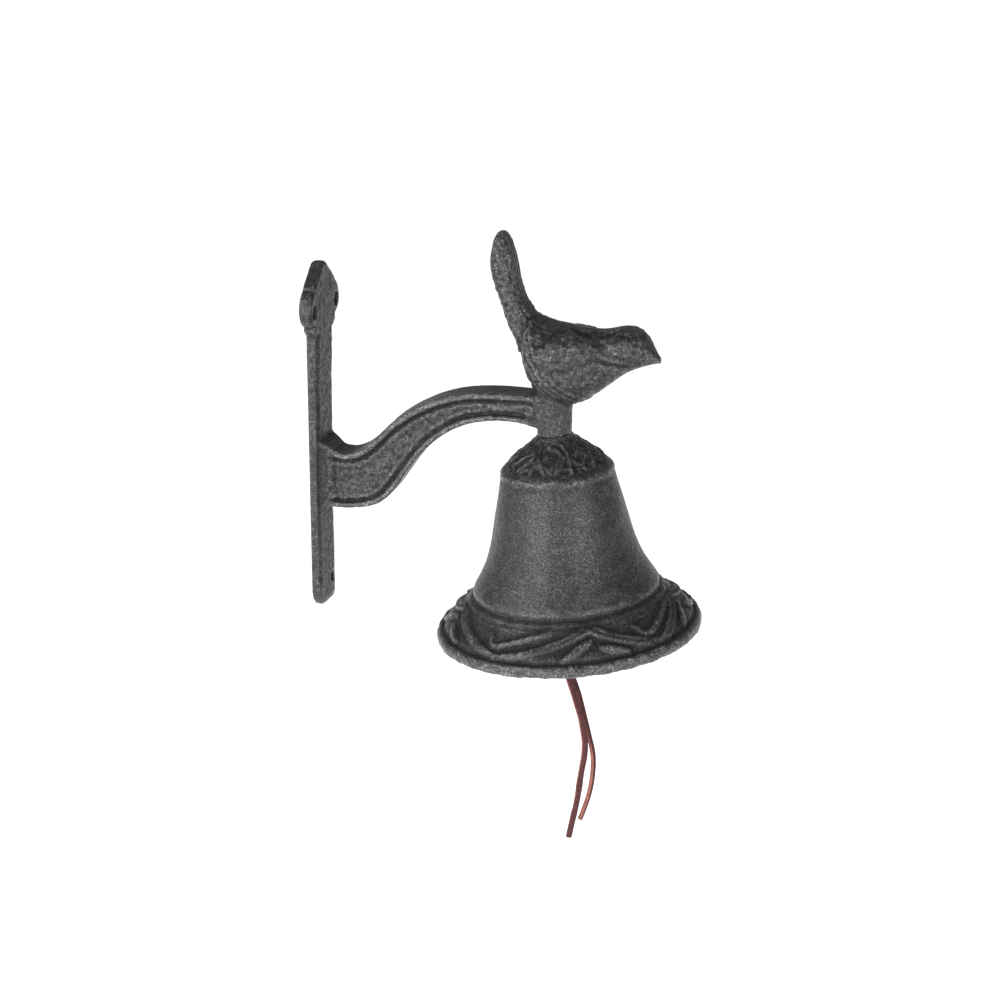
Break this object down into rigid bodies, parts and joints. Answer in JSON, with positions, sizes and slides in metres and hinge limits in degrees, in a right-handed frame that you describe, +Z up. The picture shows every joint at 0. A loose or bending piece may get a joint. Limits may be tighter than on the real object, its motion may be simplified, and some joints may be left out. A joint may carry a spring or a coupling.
{
  "type": "wall bell",
  "caption": "Flared bell hung from a bird-topped swan-neck wall bracket, with a hinged clapper on a link and a thong to pull it by.",
  "frame": {"origin": "on the wall plate's flat back, on its vertical centre line, level with the top of the arm's root", "axes": "+X points out of the wall towards the bell, +Z is up, +Y follows by the right-hand rule"},
  "size_m": [0.1495, 0.1, 0.2387],
  "materials": {
    "iron": "satin, slightly rough casting",
    "steel": "dull zinc",
    "thong": "matte"
  },
  "bodies": {
    "bracket": {"bracket": "iron", "bell": "iron", "eye_bolt": "steel", "washer": "steel", "nut": "steel"},
    "link": {"clapper_link": "steel"},
    "clapper": {"clapper": "iron", "thong_knot": "thong", "thong_long": "thong", "thong_short": "thong"}
  },
  "joints": [
    {"name": "link_swing", "type": "hinge", "parent": "bracket", "child": "link", "pos_m": [0.09459, 0, -0.01262], "axis": [0, 1, 0], "range_deg": [-26, 18]},
    {"name": "clapper_swing", "type": "hinge", "parent": "link", "child": "clapper", "pos_m": [0.09459, 0, -0.02132], "axis": [1, 0, 0], "range_deg": [-18, 18]}
  ]
}
